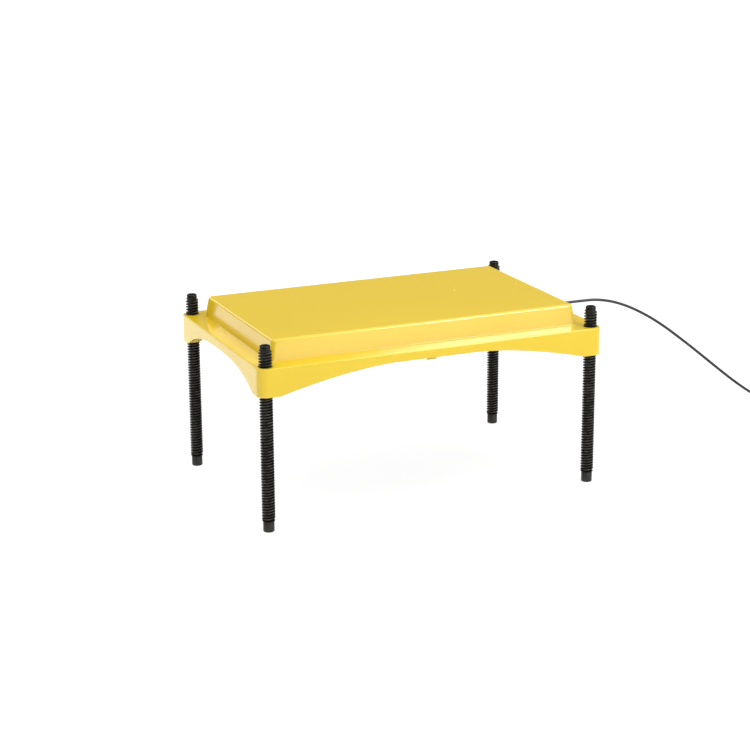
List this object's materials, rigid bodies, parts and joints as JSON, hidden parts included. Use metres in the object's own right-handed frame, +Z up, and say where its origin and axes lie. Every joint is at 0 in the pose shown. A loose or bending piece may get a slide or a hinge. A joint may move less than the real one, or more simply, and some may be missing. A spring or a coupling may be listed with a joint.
{
  "type": "chick brooder heater plate",
  "caption": "Rectangular yellow heater plate with a raised plateau and arched skirt, standing on screw-thread legs that set its height, with a thin cord to a plug-in adapter.",
  "frame": {"origin": "on the floor, under the middle of the plate", "axes": "+X along the plate's long side towards the end where the cord leaves, +Y to the back, +Z up"},
  "size_m": [0.8966, 0.28, 0.222],
  "materials": {
    "yellow_moulding": "satin moulded",
    "radiant_panel": "fine texture",
    "seal_foam": "closed-cell foam",
    "screw_steel": "zinc plated",
    "spreader_sheet": "mill finish",
    "mat_silicone": "matt",
    "track_foil": "etched foil",
    "insulation": "mineral board",
    "cutout_body": "moulded",
    "terminal_plastic": "moulded",
    "terminal_brass": "machined",
    "wire_brown": "smooth",
    "wire_orange": "smooth",
    "wire_blue": "smooth",
    "clamp_plastic": "moulded",
    "relief_rubber": "matt",
    "cord_sheath": "satin",
    "tie_plastic": "matt",
    "adapter_plastic": "fine texture",
    "blade_metal": "nickel plated",
    "core_steel": "laminated",
    "winding_copper": "varnished",
    "bush_plastic": "moulded",
    "leg_plastic": "satin moulded",
    "foot_rubber": "matt"
  },
  "bodies": {
    "plate": {"top_cover": "yellow_moulding", "base_panel": "radiant_panel", "edge_seal": "seal_foam", "panel_screws": "screw_steel", "heat_spreader": "spreader_sheet", "heater_mat": "mat_silicone", "heater_track": "track_foil", "insulation_board": "insulation", "thermal_cutout": "cutout_body", "cutout_clip": "screw_steel", "terminal_block": "terminal_plastic", "terminal_screws": "terminal_brass", "live_wire": "wire_brown", "link_wire": "wire_orange", "return_wire": "wire_blue", "cord_clamp": "clamp_plastic", "clamp_screws": "screw_steel", "strain_relief": "relief_rubber", "cord_run": "cord_sheath", "cord_coil": "cord_sheath", "coil_tie": "tie_plastic", "adapter_lower_shell": "adapter_plastic", "adapter_upper_shell": "adapter_plastic", "adapter_relief": "relief_rubber", "adapter_blades": "blade_metal", "adapter_core": "core_steel", "adapter_winding": "winding_copper", "leg_bush_front_left": "bush_plastic", "leg_bush_front_right": "bush_plastic", "leg_bush_back_left": "bush_plastic", "leg_bush_back_right": "bush_plastic"},
    "foot_front_left_carrier": {"foot_front_left": "foot_rubber"},
    "leg_front_left_screw": {"leg_front_left": "leg_plastic"},
    "foot_front_right_carrier": {"foot_front_right": "foot_rubber"},
    "leg_front_right_screw": {"leg_front_right": "leg_plastic"},
    "foot_back_left_carrier": {"foot_back_left": "foot_rubber"},
    "leg_back_left_screw": {"leg_back_left": "leg_plastic"},
    "foot_back_right_carrier": {"foot_back_right": "foot_rubber"},
    "leg_back_right_screw": {"leg_back_right": "leg_plastic"}
  },
  "joints": [
    {"name": "leg_front_left_rise", "type": "slide", "parent": "plate", "child": "foot_front_left_carrier", "axis": [0, 0, 1], "range_m": [-0.018, 0.14]},
    {"name": "leg_front_left_turn", "type": "hinge", "parent": "foot_front_left_carrier", "child": "leg_front_left_screw", "pos_m": [-0.2085, -0.1285, 0.1], "axis": [0, 0, 1], "range_deg": [-1920, 14840]},
    {"name": "leg_front_right_rise", "type": "slide", "parent": "plate", "child": "foot_front_right_carrier", "axis": [0, 0, 1], "range_m": [-0.018, 0.14]},
    {"name": "leg_front_right_turn", "type": "hinge", "parent": "foot_front_right_carrier", "child": "leg_front_right_screw", "pos_m": [0.2085, -0.1285, 0.1], "axis": [0, 0, 1], "range_deg": [-1920, 14840]},
    {"name": "leg_back_left_rise", "type": "slide", "parent": "plate", "child": "foot_back_left_carrier", "axis": [0, 0, 1], "range_m": [-0.018, 0.14]},
    {"name": "leg_back_left_turn", "type": "hinge", "parent": "foot_back_left_carrier", "child": "leg_back_left_screw", "pos_m": [-0.2085, 0.1285, 0.1], "axis": [0, 0, 1], "range_deg": [-1920, 14840]},
    {"name": "leg_back_right_rise", "type": "slide", "parent": "plate", "child": "foot_back_right_carrier", "axis": [0, 0, 1], "range_m": [-0.018, 0.14]},
    {"name": "leg_back_right_turn", "type": "hinge", "parent": "foot_back_right_carrier", "child": "leg_back_right_screw", "pos_m": [0.2085, 0.1285, 0.1], "axis": [0, 0, 1], "range_deg": [-1920, 14840]}
  ],
  "couplings": [
    {"joint": "leg_front_left_turn", "follows": "leg_front_left_rise", "rad_per_m": 1848},
    {"joint": "leg_front_right_turn", "follows": "leg_front_right_rise", "rad_per_m": 1848},
    {"joint": "leg_back_left_turn", "follows": "leg_back_left_rise", "rad_per_m": 1848},
    {"joint": "leg_back_right_turn", "follows": "leg_back_right_rise", "rad_per_m": 1848}
  ]
}
